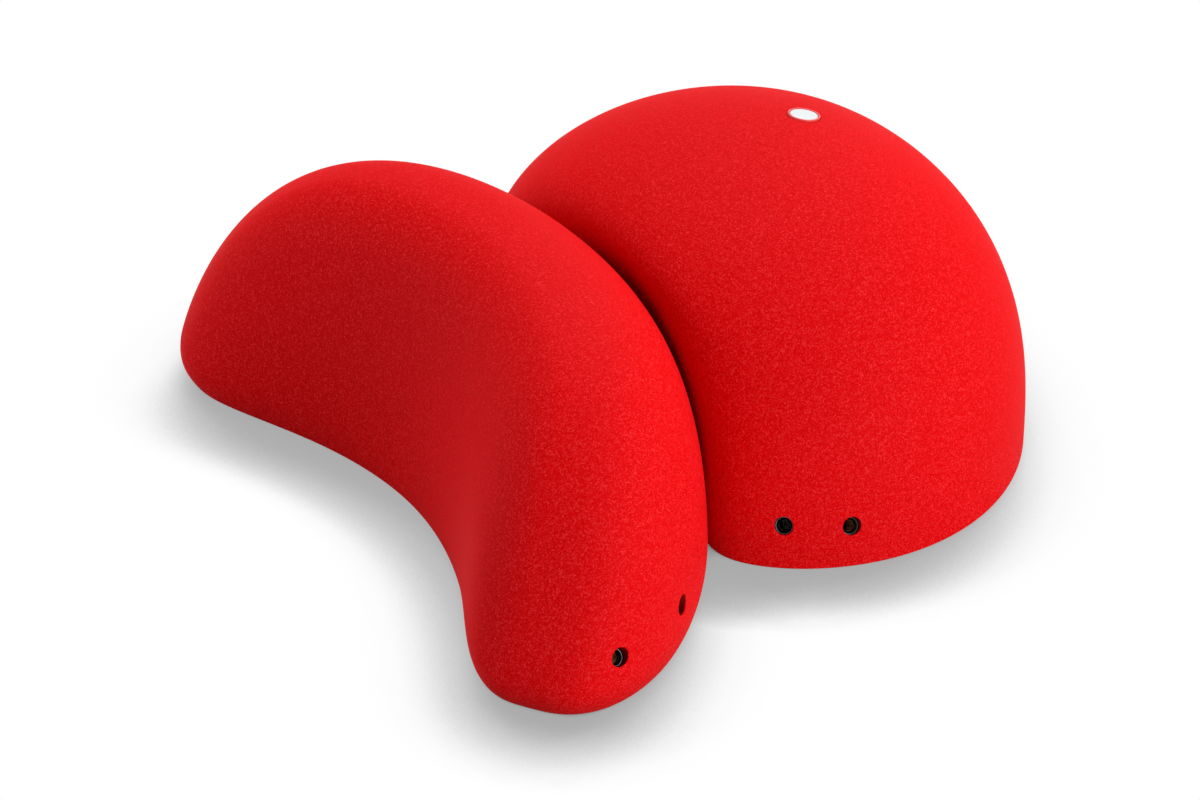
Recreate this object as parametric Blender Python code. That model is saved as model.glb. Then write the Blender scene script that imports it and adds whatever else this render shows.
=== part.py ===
"""A jug climbing hold set: a crescent jug and a dome close against its outer flank, both screwed to a wall.

Each hold is a hollow glass-fibre shell, open at the back. Bonded inside it are a plywood base plate, a
wooden block at each end that the screws bite into, and plywood formers that keep the shell stiff. Steel cups
seat the screws.

Metres. The wall is the plane z = 0 and +Z points away from it. +X runs from the crescent to the dome, and +Y
along the gap between them. The origin is at the centre of the set's footprint.
"""

import math

import bmesh
import bpy
import numpy as np
from mathutils import Matrix, Vector

# The set
SET_GAP = 0.0024  # between the two feet, mid length
FIT = 0.0003  # glue line, or play, between a piece and its neighbour
WALL = 0.005  # glass-fibre laminate
BELOW = 0.003  # each form runs on this far past the wall plane, where it is cut flat

# Crescent jug: a melon shape swept along an arc
SPINE_R = 0.2445
SPINE_HALF_ANGLE = math.radians(57.7)
INNER_WIDTH = 0.0702  # from the spine to the foot on the hollow of the arc
OUTER_WIDTH = 0.0879  # from the spine to the foot beside the dome
CRESCENT_HEIGHT = 0.1607
END_PLAN = (2.32, 2.72)  # the two powers of the taper of the widths towards the ends
END_RISE = (3.83, 1.39)  # the same for the height
INNER_SECTION = (1.99, 2.40)  # powers across and up on the inner side of the section
OUTER_SECTION = (2.65, 2.72)
GRIP_DIP = 0.0066  # the hollow that fingers pull on, on the inner flank
GRIP_LEVEL = 0.37  # its middle, as a share of the height there
GRIP_SPREAD = 0.47
GRIP_ONSET = 1.5  # how soon it is at its full depth, from the spine towards the inner foot
FOOT_TUCK = 0.05  # how much the foot draws in at the wall
FOOT_HEIGHT = 0.0263  # where the tuck ends

# Dome: an ellipse in plan with a round bite that clears the crescent
DOME_HALF_WIDTH = 0.1602
DOME_HALF_LENGTH = 0.1914
DOME_HEIGHT = 0.1768
DOME_SECTION = (1.81, 2.93)  # powers inwards and up
BITE_R = 0.2647
BITE_DEPTH = 0.0845  # how far the bite reaches into the ellipse
APEX_SHIFT = 0.0274  # from the ellipse's centre, away from the bite
BITE_LEAN = 0.70  # how far the bite leans back, as a share of the crescent's flank
BITE_EDGE = (20.3, 7.7)  # the powers of the ellipse at the foot and on top: lower is rounder
BITE_POWER = 14.1  # the same for the bite

# Wooden pieces
PLATE_T = 0.012
PLATE_RIM = 0.030  # the plate's width round its opening
CRESCENT_OPENING_ANGLE = math.radians(33)  # half of the opening in the crescent's plate
DOME_OPENING_Y = 0.100  # half of the opening in the dome's plate
BLOCK_T = 0.036
CRESCENT_BLOCK_ANGLE = math.radians(35)  # where its end blocks start
DOME_BLOCK_Y = 0.105
FORMER_T = 0.012
FORMER_ANGLE = math.radians(17.5)  # between the crescent's formers
HALVING_Z = 0.090  # where the dome's two formers pass through each other

# Screw holes, at each end of each hold: where on the flank, and the height of the mouth above the wall
CRESCENT_SCREWS = {"tip": (math.radians(51.4), 0.0366), "side": (math.radians(41.0), 0.0364)}
DOME_SCREWS = {"tip": (math.radians(122.8), 0.0289), "side": (math.radians(111.4), 0.0274)}
SCREW_TILT = math.radians(33)  # down towards the wall
BORE_R = 0.0055
SEAT_DEPTH = 0.011  # from the mouth to the floor of the bore
SHANK_R = 0.0035
CUP_WALL = 0.0005  # at the lip
CUP_T = 0.0035

# Badge on the dome's crown
BADGE_AWAY = 0.0219  # from the apex
BADGE_TURN = math.radians(24.7)
BADGE_R = 0.0098
BADGE_RIM = 0.0012
BADGE_FLOOR = 0.0008
BADGE_T = 0.0024
BADGE_PROUD = 0.0007
DISC_DROP = 0.0003  # the disc's face below the rim's

# How finely round and curved shapes are cut
SPINE_STEPS = 30
SECTION_STEPS = 14
DOME_SIDES = 54
DOME_RINGS = 10
TURNED_SIDES = 20
HALVINGS = 40
REACH = 0.4  # cutters are longer than anything that they cut


def clear_scene():
    for obj in list(bpy.data.objects):
        bpy.data.objects.remove(obj, do_unlink=True)


def material(name, colour, roughness, metallic=0.0):
    """A Principled material."""
    made = bpy.data.materials.new(name)
    made.use_nodes = True
    shader = made.node_tree.nodes["Principled BSDF"]
    shader.inputs["Base Color"].default_value = (*colour, 1)
    shader.inputs["Roughness"].default_value = roughness
    shader.inputs["Metallic"].default_value = metallic
    return made


def mesh_object(name, bm, parent, look=None):
    """A closed object from a bmesh, under the empty of its hold. Without a look it is a cutter."""
    bmesh.ops.recalc_face_normals(bm, faces=bm.faces)
    mesh = bpy.data.meshes.new(name)
    bm.to_mesh(mesh)
    bm.free()
    obj = bpy.data.objects.new(name, mesh)
    obj.parent = parent
    bpy.context.scene.collection.objects.link(obj)
    if look is None:
        obj.hide_render = True
        obj.display_type = "WIRE"
    else:
        mesh.materials.append(look)
    return obj


def smooth(obj):
    obj.data.shade_smooth()
    obj.data.set_sharp_from_angle(angle=math.radians(35))


def boolean(obj, operation, *others):
    for other in others:
        cut = obj.modifiers.new(other.name, "BOOLEAN")
        cut.operation = operation
        cut.object = other
        cut.solver = "EXACT"


def box(name, low, high, parent, look=None, turn=0.0):
    """A box between two corners, turned about +Z."""
    low, high = Vector(low), Vector(high)
    bm = bmesh.new()
    size = Matrix.Diagonal((*(high - low), 1))
    bmesh.ops.create_cube(bm, size=1, matrix=Matrix.Translation((low + high) / 2) @ size)
    obj = mesh_object(name, bm, parent, look)
    obj.rotation_euler.z = turn
    return obj


def turned(name, profile, place, parent, look=None):
    """A profile of (radius, height) pairs spun about +Z, closed by the axis, or by itself if it has a bore."""
    bm = bmesh.new()
    points = [bm.verts.new((radius, 0, height)) for radius, height in profile]
    pairs = list(zip(points, points[1:]))
    if profile[0][0] > 0:
        pairs.append((points[-1], points[0]))
    edges = [bm.edges.new(pair) for pair in pairs]
    centre, axis = (0, 0, 0), (0, 0, 1)
    bmesh.ops.spin(
        bm, geom=points + edges, cent=centre, axis=axis, angle=2 * math.pi, steps=TURNED_SIDES, use_merge=True
    )
    bmesh.ops.remove_doubles(bm, verts=bm.verts, dist=1e-6)
    obj = mesh_object(name, bm, parent, look)
    obj.matrix_local = place
    smooth(obj)
    return obj


def taper(share, powers):
    """Falls from 1 in the middle to 0 at either end."""
    return np.maximum(1 - np.abs(share) ** powers[0], 0) ** (1 / powers[1])


def lowered(height, full_height):
    """Heights stretched so that the form keeps its top and starts BELOW the wall plane."""
    return height * (full_height + BELOW) / full_height - BELOW


def crescent_surface(share, turn):
    """Points of the crescent about the centre of its arc.

    share runs from -1 to 1 along the spine, and turn from 0 at the inner foot over the top to pi at the outer.
    """
    plan = taper(share, END_PLAN)
    across = -np.cos(turn)
    inner = across < 0
    out_power = np.where(inner, INNER_SECTION[0], OUTER_SECTION[0])
    up_power = np.where(inner, INNER_SECTION[1], OUTER_SECTION[1])
    width = np.where(inner, INNER_WIDTH, OUTER_WIDTH)
    rise = np.maximum(np.sin(turn), 0) ** (2 / up_power)
    offset = np.sign(across) * np.abs(across) ** (2 / out_power) * width
    grip = np.exp(-(((rise - GRIP_LEVEL) / GRIP_SPREAD) ** 2)) * (1 - share**2)
    offset = (offset + GRIP_DIP * grip * np.clip(-GRIP_ONSET * across, 0, 1)) * plan
    z = lowered(CRESCENT_HEIGHT * taper(share, END_RISE) * rise, CRESCENT_HEIGHT)
    tuck = 1 - FOOT_TUCK * np.maximum(1 - z / FOOT_HEIGHT, 0) ** 2
    radius = SPINE_R + offset * tuck
    around = SPINE_HALF_ANGLE * share * tuck
    return np.stack([radius * np.cos(around), radius * np.sin(around), z], axis=-1)


def flank(height):
    """How far the crescent's outer flank has come in, mid length, at a height above the foot."""
    share = np.clip(height / CRESCENT_HEIGHT, 0, 1)
    return OUTER_WIDTH * (1 - (1 - share ** OUTER_SECTION[1]) ** (1 / OUTER_SECTION[0]))


def dome_ellipse(around):
    """The radius of the dome's ellipse about the apex."""
    square = (np.cos(around) / DOME_HALF_WIDTH) ** 2 + (np.sin(around) / DOME_HALF_LENGTH) ** 2
    slope = APEX_SHIFT * np.cos(around) / DOME_HALF_WIDTH**2
    return (-slope + np.sqrt(slope**2 - square * ((APEX_SHIFT / DOME_HALF_WIDTH) ** 2 - 1))) / square


def dome_surface(around, climb):
    """Points of the dome about its apex in plan. climb runs from 0 at the foot to 1 on top.

    A point lies where its share of the plain dome's radius and the bite's share of its distance from the bite's
    centre, each raised to its power, add up to 1. So the two meet in a round edge. The bite leans back as the
    crescent's flank does. The radius is found by halving.
    """
    rise = np.sin(climb * np.pi / 2) ** (2 / DOME_SECTION[1])
    plain = dome_ellipse(around) * np.maximum(np.cos(climb * np.pi / 2), 1e-9) ** (2 / DOME_SECTION[0])
    edge = BITE_EDGE[0] + (BITE_EDGE[1] - BITE_EDGE[0]) * rise
    bite = BITE_R - BITE_LEAN * flank(DOME_HEIGHT * rise)
    bite_away = APEX_SHIFT + DOME_HALF_WIDTH - BITE_DEPTH + BITE_R
    low, high = 0 * plain, plain
    for _ in range(HALVINGS):
        radius = (low + high) / 2
        away = np.hypot(radius * np.cos(around) + bite_away, radius * np.sin(around))
        outside = (radius / plain) ** edge + (bite / away) ** BITE_POWER > 1
        low, high = np.where(outside, low, radius), np.where(outside, radius, high)
    z = lowered(DOME_HEIGHT * rise, DOME_HEIGHT) + 0 * radius
    return np.stack([radius * np.cos(around), radius * np.sin(around), z], axis=-1)


def crescent_grid():
    """Rows across the spine, closer together at the ends, with their points closer together at the feet."""
    share = np.sin(np.linspace(-np.pi / 2, np.pi / 2, SPINE_STEPS + 1))[:, None]
    turn = (1 - np.cos(np.linspace(0, np.pi, SECTION_STEPS + 1)))[None, :] * np.pi / 2
    return crescent_surface(share, turn)


def dome_grid():
    """Rings from the foot to the apex, closer together at the foot."""
    climb = 1 - np.cos(np.linspace(0, np.pi / 2, DOME_RINGS + 1))[:, None]
    around = np.linspace(0, 2 * np.pi, DOME_SIDES, endpoint=False)[None, :]
    return dome_surface(around, climb)


def strip(bm, row, following, closed):
    """Triangles between two rows of vertices, all cut the same way, so that forms of unlike inset nest."""
    for i in range(-1 if closed else 0, len(row) - 1):
        bm.faces.new((row[i], row[i + 1], following[i + 1]))
        bm.faces.new((row[i], following[i + 1], following[i]))


def fan(bm, row, tip, closed):
    for i in range(-1 if closed else 0, len(row) - 1):
        bm.faces.new((row[i], row[i + 1], tip))


def draw_in(bm, foot, inset):
    """Moves an outer face inwards along its normals, with its foot kept below the wall plane."""
    bmesh.ops.recalc_face_normals(bm, faces=bm.faces)
    bm.normal_update()
    for vertex in bm.verts:
        vertex.co -= inset * vertex.normal
    for vertex in foot:
        vertex.co.z = -BELOW


def crescent_form(name, parent, look=None, inset=0.0):
    """The crescent as a closed body: rows across the spine, a point at each end and a flat underside."""
    bm = bmesh.new()
    grid = crescent_grid()
    rows = [[bm.verts.new(point) for point in row] for row in grid[1:-1]]
    tips = [bm.verts.new(row[0]) for row in (grid[0], grid[-1])]
    for row, following in zip(rows, rows[1:]):
        strip(bm, row, following, closed=False)
    for row, tip in zip((rows[0], rows[-1]), tips):
        fan(bm, row, tip, closed=False)
    inner_foot, outer_foot = [row[0] for row in rows], [row[-1] for row in rows]
    draw_in(bm, inner_foot + outer_foot + tips, inset)
    strip(bm, inner_foot, outer_foot, closed=False)
    for i, tip in zip((0, -1), tips):
        bm.faces.new((inner_foot[i], outer_foot[i], tip))
    return mesh_object(name, bm, parent, look)


def dome_form(name, parent, look=None, inset=0.0):
    """The dome as a closed body: rings up to the apex and a flat underside."""
    bm = bmesh.new()
    grid = dome_grid()
    rings = [[bm.verts.new(point) for point in ring] for ring in grid[:-1]]
    for ring, following in zip(rings, rings[1:]):
        strip(bm, ring, following, closed=True)
    fan(bm, rings[-1], bm.verts.new(grid[-1][0]), closed=True)
    draw_in(bm, rings[0], inset)
    bm.faces.new(rings[0])
    return mesh_object(name, bm, parent, look)


def crescent_opening(parent):
    """The hole in the crescent's plate, PLATE_RIM inside its edge."""
    end = CRESCENT_OPENING_ANGLE / SPINE_HALF_ANGLE
    rim = WALL + FIT + PLATE_RIM
    bm = bmesh.new()
    rows = []
    for share in np.linspace(-end, end, SPINE_STEPS // 2 + 1):
        around = share * SPINE_HALF_ANGLE
        inner = SPINE_R - INNER_WIDTH * taper(share, END_PLAN) + rim
        outer = SPINE_R + OUTER_WIDTH * taper(share, END_PLAN) - rim
        corners = ((inner, -PLATE_T), (outer, -PLATE_T), (outer, 2 * PLATE_T), (inner, 2 * PLATE_T))
        rows.append([bm.verts.new((r * math.cos(around), r * math.sin(around), z)) for r, z in corners])
    for row, following in zip(rows, rows[1:]):
        strip(bm, row, following, closed=True)
    bm.faces.new(rows[0])
    bm.faces.new(rows[-1])
    return mesh_object("crescent_opening", bm, parent)


def dome_opening(parent):
    """The hole in the dome's plate, about PLATE_RIM inside its edge and stopped short of the end blocks."""
    bm = bmesh.new()
    foot = dome_grid()[0]
    scale = 1 - (WALL + FIT + PLATE_RIM) / np.hypot(foot[:, 0], foot[:, 1])
    rows = []
    for z in (-PLATE_T, 2 * PLATE_T):
        rows.append([bm.verts.new((x * s, y * s, z)) for (x, y, _), s in zip(foot, scale)])
    strip(bm, *rows, closed=True)
    bm.faces.new(rows[0])
    bm.faces.new(rows[1])
    opening = mesh_object("dome_opening", bm, parent)
    span = box("dome_opening_span", (-REACH, -DOME_OPENING_Y, -REACH), (REACH, DOME_OPENING_Y, REACH), parent)
    boolean(opening, "INTERSECT", span)
    return opening


def aim(point, direction):
    """A placement at a point, with its +Z along a direction."""
    return Matrix.Translation(point) @ Vector(direction).to_track_quat("Z", "Y").to_matrix().to_4x4()


def outward(surface, u, v):
    """The outward direction at a point of a surface, by a small step each way."""
    step = 1e-4
    along_u = surface(u + step, v) - surface(u - step, v)
    along_v = surface(u, v + step) - surface(u, v - step)
    return Vector(np.cross(along_u, along_v)).normalized()


def in_plan(direction):
    return Vector((direction.x, direction.y, 0)).normalized()


def crescent_mouths():
    """Where the crescent's screws enter its outer flank, with the outward direction in plan."""
    for end, sign in (("near", -1), ("far", 1)):
        for spot, (angle, height) in CRESCENT_SCREWS.items():
            share = sign * angle / SPINE_HALF_ANGLE
            rise = (height + BELOW) / (CRESCENT_HEIGHT + BELOW) / taper(share, END_RISE)
            turn = math.pi - math.asin(rise ** (OUTER_SECTION[1] / 2))
            point = Vector(crescent_surface(share, turn))
            yield f"{end}_{spot}", point, in_plan(-outward(crescent_surface, share, turn))


def dome_mouths():
    """Where the dome's screws enter its flank, with the outward direction in plan."""
    for end, sign in (("near", -1), ("far", 1)):
        for spot, (angle, height) in DOME_SCREWS.items():
            lift = (height + BELOW) / (DOME_HEIGHT + BELOW)
            climb = math.asin(lift ** (DOME_SECTION[1] / 2)) * 2 / math.pi
            point = Vector(dome_surface(sign * angle, climb))
            yield f"{end}_{spot}", point, in_plan(outward(dome_surface, sign * angle, climb))


def screws(hold, mouths, parent, steel):
    """The stepped drill of each screw hole, by its end of the hold, and the steel cup on each step."""
    drills = {"near": [], "far": []}
    for spot, point, out in mouths:
        down = -math.cos(SCREW_TILT) * out - math.sin(SCREW_TILT) * Vector((0, 0, 1))
        place = aim(point, down)
        profile = (
            (0, -3 * BORE_R),
            (BORE_R, -3 * BORE_R),
            (BORE_R, SEAT_DEPTH),
            (SHANK_R, SEAT_DEPTH),
            (SHANK_R, SEAT_DEPTH + REACH / 4),
            (0, SEAT_DEPTH + REACH / 4),
        )
        drills[spot.split("_")[0]].append(turned(f"{hold}_drill_{spot}", profile, place, parent))
        floor = SEAT_DEPTH - FIT
        cup = (
            (SHANK_R, floor),
            (BORE_R - FIT, floor),
            (BORE_R - FIT, floor - CUP_T),
            (BORE_R - FIT - CUP_WALL, floor - CUP_T),
            (SHANK_R, floor - CUP_T / 3),
        )
        turned(f"{hold}_screw_cup_{spot}", cup, place, parent, steel)
    return drills


def crescent_hold(parent, looks):
    core = crescent_form("crescent_cavity", parent, inset=WALL)
    inside = crescent_form("crescent_inside", parent, inset=WALL + FIT)
    ground = box("crescent_ground", (-REACH, -REACH, -REACH), (2 * REACH, REACH, 0), parent)
    drills = screws("crescent", crescent_mouths(), parent, looks["steel"])
    every_drill = drills["near"] + drills["far"]

    shell = crescent_form("crescent_shell", parent, looks["shell"])
    smooth(shell)
    boolean(shell, "DIFFERENCE", core, ground, *every_drill)

    plate = box("crescent_base_plate", (0, -REACH, 0), (REACH, REACH, PLATE_T), parent, looks["ply"])
    boolean(plate, "INTERSECT", inside)
    boolean(plate, "DIFFERENCE", crescent_opening(parent), *every_drill)

    on_plate = PLATE_T + FIT
    for end, sign in (("near", -1), ("far", 1)):
        near, far = sorted((0, sign * REACH))
        low, high = (0, near, on_plate), (REACH, far, on_plate + BLOCK_T)
        turn = sign * CRESCENT_BLOCK_ANGLE
        block = box(f"crescent_end_block_{end}", low, high, parent, looks["block"], turn)
        boolean(block, "INTERSECT", inside)
        boolean(block, "DIFFERENCE", *drills[end])

    for spot, turn in (("near", -FORMER_ANGLE), ("middle", 0.0), ("far", FORMER_ANGLE)):
        low, high = (0, -FORMER_T / 2, on_plate), (REACH, FORMER_T / 2, REACH)
        former = box(f"crescent_former_{spot}", low, high, parent, looks["ply"], turn)
        boolean(former, "INTERSECT", inside)


def dome_hold(parent, looks):
    core = dome_form("dome_cavity", parent, inset=WALL)
    inside = dome_form("dome_inside", parent, inset=WALL + FIT)
    ground = box("dome_ground", (-REACH, -REACH, -REACH), (REACH, REACH, 0), parent)
    drills = screws("dome", dome_mouths(), parent, looks["steel"])
    every_drill = drills["near"] + drills["far"]

    shell = dome_form("dome_shell", parent, looks["shell"])
    smooth(shell)
    boolean(shell, "DIFFERENCE", core, ground, badge(parent, looks), *every_drill)

    plate = box("dome_base_plate", (-REACH, -REACH, 0), (REACH, REACH, PLATE_T), parent, looks["ply"])
    boolean(plate, "INTERSECT", inside)
    boolean(plate, "DIFFERENCE", dome_opening(parent), *every_drill)

    on_plate = PLATE_T + FIT
    for end, sign in (("near", -1), ("far", 1)):
        near, far = sorted((sign * DOME_BLOCK_Y, sign * REACH))
        low, high = (-REACH, near, on_plate), (REACH, far, on_plate + BLOCK_T)
        block = box(f"dome_end_block_{end}", low, high, parent, looks["block"])
        boolean(block, "INTERSECT", inside)
        boolean(block, "DIFFERENCE", *drills[end])

    half, slot, span = FORMER_T / 2, FORMER_T / 2 + FIT, DOME_BLOCK_Y - FIT
    low, high = (-half, -span, on_plate), (half, span, REACH)
    long_former = box("dome_former_long", low, high, parent, looks["ply"])
    boolean(long_former, "INTERSECT", inside)
    upper_slot = box("dome_upper_slot", (-REACH, -slot, HALVING_Z), (REACH, slot, REACH), parent)
    boolean(long_former, "DIFFERENCE", upper_slot)
    low, high = (-REACH, -half, on_plate), (REACH, half, REACH)
    cross_former = box("dome_former_cross", low, high, parent, looks["ply"])
    boolean(cross_former, "INTERSECT", inside)
    lower_slot = box("dome_lower_slot", (-slot, -REACH, 0), (slot, REACH, HALVING_Z + FIT), parent)
    boolean(cross_former, "DIFFERENCE", lower_slot)


def badge(parent, looks):
    """The badge's rim and its plain disc, and the cutter of the recess that they sit in."""
    share = BADGE_AWAY / dome_ellipse(BADGE_TURN)
    climb = math.acos(share ** (DOME_SECTION[0] / 2)) * 2 / math.pi
    place = aim(Vector(dome_surface(BADGE_TURN, climb)), outward(dome_surface, BADGE_TURN, climb))
    floor = BADGE_PROUD - BADGE_T
    rim = (
        (0, floor),
        (BADGE_R, floor),
        (BADGE_R, BADGE_PROUD),
        (BADGE_R - BADGE_RIM, BADGE_PROUD),
        (BADGE_R - BADGE_RIM, floor + BADGE_FLOOR),
        (0, floor + BADGE_FLOOR),
    )
    turned("badge_rim", rim, place, parent, looks["badge_rim"])
    disc_r = BADGE_R - BADGE_RIM - FIT
    seat, face = floor + BADGE_FLOOR + FIT, BADGE_PROUD - DISC_DROP
    disc = ((0, seat), (disc_r, seat), (disc_r, face), (0, face))
    turned("badge_disc", disc, place, parent, looks["badge_disc"])
    recess_r, recess_floor = BADGE_R + FIT, floor - FIT
    recess = ((0, recess_floor), (recess_r, recess_floor), (recess_r, BADGE_T * 3), (0, BADGE_T * 3))
    return turned("badge_recess", recess, place, parent)


def hold_empty(name, x):
    empty = bpy.data.objects.new(name, None)
    empty.location.x = x
    bpy.context.scene.collection.objects.link(empty)
    return empty


clear_scene()
looks = {
    "shell": material("textured_red", (0.80, 0.006, 0.010), 0.6),
    "ply": material("plywood", (0.62, 0.43, 0.25), 0.7),
    "block": material("block_wood", (0.55, 0.36, 0.19), 0.7),
    "steel": material("zinc_steel", (0.62, 0.63, 0.65), 0.35, 1.0),
    "badge_rim": material("badge_red", (0.5, 0.01, 0.012), 0.35),
    "badge_disc": material("badge_white", (0.85, 0.85, 0.84), 0.35),
}

# The arc's centre and the dome's apex in x, with the footprint's middle at 0
crescent_face = crescent_grid()[SPINE_STEPS // 2, :, 0].max()
apex_from_arc = crescent_face + SET_GAP - dome_surface(math.pi, 0.0)[0]
left = crescent_grid()[..., 0].min()
right = apex_from_arc + DOME_HALF_WIDTH - APEX_SHIFT
arc_x = -(left + right) / 2
crescent_hold(hold_empty("crescent_hold", arc_x), looks)
dome_hold(hold_empty("dome_hold", arc_x + apex_from_arc), looks)
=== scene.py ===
"""The finish of the jug climbing hold set: a crescent jug and a dome, screwed side by side to a wall.

Metres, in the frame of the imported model: the wall is z = 0, and +X runs from the crescent to the dome.
"""

import math

import bmesh
import bpy
import numpy as np
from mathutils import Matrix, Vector


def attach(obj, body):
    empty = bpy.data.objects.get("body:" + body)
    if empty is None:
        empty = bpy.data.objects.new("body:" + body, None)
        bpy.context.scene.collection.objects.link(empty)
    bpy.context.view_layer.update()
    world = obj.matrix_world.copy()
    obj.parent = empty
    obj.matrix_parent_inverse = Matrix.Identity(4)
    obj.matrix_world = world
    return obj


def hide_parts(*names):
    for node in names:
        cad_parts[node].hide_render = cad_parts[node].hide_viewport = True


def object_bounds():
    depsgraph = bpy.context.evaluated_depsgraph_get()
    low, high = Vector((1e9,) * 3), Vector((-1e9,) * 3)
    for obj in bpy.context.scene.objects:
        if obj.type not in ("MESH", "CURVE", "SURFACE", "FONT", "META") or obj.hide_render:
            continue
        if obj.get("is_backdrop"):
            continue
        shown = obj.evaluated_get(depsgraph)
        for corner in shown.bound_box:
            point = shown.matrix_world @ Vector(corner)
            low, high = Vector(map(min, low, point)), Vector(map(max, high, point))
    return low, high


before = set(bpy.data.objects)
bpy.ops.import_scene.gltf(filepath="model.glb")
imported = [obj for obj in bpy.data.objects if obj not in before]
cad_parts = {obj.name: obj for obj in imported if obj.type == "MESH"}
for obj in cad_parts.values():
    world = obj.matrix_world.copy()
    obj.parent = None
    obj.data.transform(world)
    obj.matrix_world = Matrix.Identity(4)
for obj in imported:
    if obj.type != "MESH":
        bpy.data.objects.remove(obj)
cad_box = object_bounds()


# Crescent shell
# A hand-laid glass-fibre moulding, 5 mm thick and open at the back, with a gritty red gelcoat on its outside.
# The form is a melon swept along an arc. A pair of screw holes is drilled through it at each end.
WALL = 0.005
BELOW = 0.003  # the form starts this far below the wall plane, which cuts it off
ARC_X = -0.347658  # where the arc's centre is
SPINE_R = 0.2445
SPINE_HALF_ANGLE = math.radians(57.7)
INNER_WIDTH, OUTER_WIDTH = 0.0702, 0.0879
CRESCENT_HEIGHT = 0.1607
END_PLAN, END_RISE = (2.32, 2.72), (3.83, 1.39)  # powers that draw in the ends, in plan and in height
INNER_SECTION, OUTER_SECTION = (1.99, 2.40), (2.65, 2.72)  # powers of the section, across and up
GRIP_DIP, GRIP_LEVEL, GRIP_SPREAD, GRIP_ONSET = 0.0066, 0.37, 0.47, 1.5  # the hollow for the fingers
FOOT_TUCK, FOOT_HEIGHT = 0.05, 0.0263  # how far the foot is drawn in, and from what height down
CRESCENT_SCREWS = ((51.4, 0.0366), (41.0, 0.0364))  # degrees along the arc, and height
SCREW_TILT = math.radians(33)
SEAT_DEPTH, SEAT_GAP = 0.011, 0.0001  # the step that a cup rests on, and how far the bore's wall ends above
BORE_R, LIP, BORE_SKIN = 0.00535, 0.0006, 0.0001
HOLE_WINDOW = 0.0118  # half the patch of skin that is cut out and filled with rings round a hole
EDGE_RINGS, NEWTON_STEPS = 9, 14
CRESCENT_GRID = (221, 121)
MERGED_WITHIN, SHARP_FROM = 2e-6, math.radians(40)
OUTSIDE, INSIDE, BORE = range(3)  # the places of a shell's materials
GRIT_RED = (0.72, 0.0018, 0.0035)
# The pits' tint is painted shade, and the grains' lighter, pinker tint is a painted glint.
PIT_SHADE_TINT, GRAIN_GLINT_TINT = (0.86, 0.1, 0.2), (1.15, 15, 9)  # times the red, in the pits and on the grains


def taper(share, powers):
    """Falls from 1 in the middle to 0 at either end: one less the share to a power, to another power."""
    return np.maximum(1 - np.abs(share) ** powers[0], 0) ** (1 / powers[1])


def lowered(height, full_height):
    """Heights stretched so that the form keeps its top and starts BELOW the wall plane."""
    return height * (full_height + BELOW) / full_height - BELOW


def crescent_skin(share, turn):
    """A superellipse section, wider on its outer side, carried along an arc and drawn in towards both ends.

    share runs from -1 to 1 along the arc, and turn from 0 at the inner foot over the top to pi at the outer.
    The offset from the arc is the cosine of turn to a power, and the height its sine to a power, each times
    its size and its taper. A bell curve of the height hollows the inner side for the fingers. The foot is
    drawn in by the square of how far a point lies below FOOT_HEIGHT.
    """
    across = -np.cos(turn)
    inner = across < 0
    out_power = np.where(inner, INNER_SECTION[0], OUTER_SECTION[0])
    up_power = np.where(inner, INNER_SECTION[1], OUTER_SECTION[1])
    width = np.where(inner, INNER_WIDTH, OUTER_WIDTH)
    rise = np.maximum(np.sin(turn), 0) ** (2 / up_power)
    offset = np.sign(across) * np.abs(across) ** (2 / out_power) * width
    grip = np.exp(-(((rise - GRIP_LEVEL) / GRIP_SPREAD) ** 2)) * (1 - share**2)
    offset = (offset + GRIP_DIP * grip * np.clip(-GRIP_ONSET * across, 0, 1)) * taper(share, END_PLAN)
    z = lowered(CRESCENT_HEIGHT * taper(share, END_RISE) * rise, CRESCENT_HEIGHT)
    tuck = 1 - FOOT_TUCK * np.maximum(1 - z / FOOT_HEIGHT, 0) ** 2
    radius = SPINE_R + offset * tuck
    around = SPINE_HALF_ANGLE * share * tuck
    return np.stack([ARC_X + radius * np.cos(around), radius * np.sin(around), z], axis=-1)


def out_of(skin, u, v, sign):
    """Unit outward directions of a skin: the cross product of a small step along each parameter."""
    step = 1e-4
    along_u = skin(u + step, v) - skin(u - step, v)
    along_v = skin(u, v + step) - skin(u, v - step)
    out = sign * np.cross(along_u, along_v)
    return out / np.maximum(np.linalg.norm(out, axis=-1, keepdims=True), 1e-15)


def even_steps(curve, low, high, count):
    """Parameter values that cut a curve into pieces of equal length, from a fine polyline of it."""
    fine = np.linspace(low, high, 4001)
    length = np.linalg.norm(np.diff(curve(fine), axis=0), axis=1)
    run = np.concatenate([[0], np.cumsum(length)])
    return np.interp(np.linspace(0, run[-1], count), run, fine)


def crescent_parameters(rows, columns):
    """share and turn for a grid whose feet lie on the wall plane and whose ends close to a point there.

    Rows lie between even steps along the outer foot and a sine's steps, which crowd towards the ends.
    """
    end = (1 - (BELOW / (CRESCENT_HEIGHT + BELOW)) ** END_RISE[1]) ** (1 / END_RISE[0])
    by_foot = math.pi * 0.97
    side = even_steps(lambda s: crescent_skin(s, np.full_like(s, by_foot)), -end, end, rows)
    plain = end * np.sin(np.linspace(-np.pi / 2, np.pi / 2, rows))
    share = (0.6 * side + 0.4 * plain)[:, None]
    section = even_steps(lambda t: crescent_skin(0 * t, t), 1e-3, math.pi - 1e-3, columns) / math.pi
    section[0], section[-1] = 0, 1
    lift = np.minimum(BELOW / ((CRESCENT_HEIGHT + BELOW) * np.maximum(taper(share, END_RISE), 1e-9)), 1)
    inner = np.arcsin(lift ** (INNER_SECTION[1] / 2))
    outer = math.pi - np.arcsin(lift ** (OUTER_SECTION[1] / 2))
    turn = inner + (outer - inner) * section[None, :]
    return share + 0 * turn, turn


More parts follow.
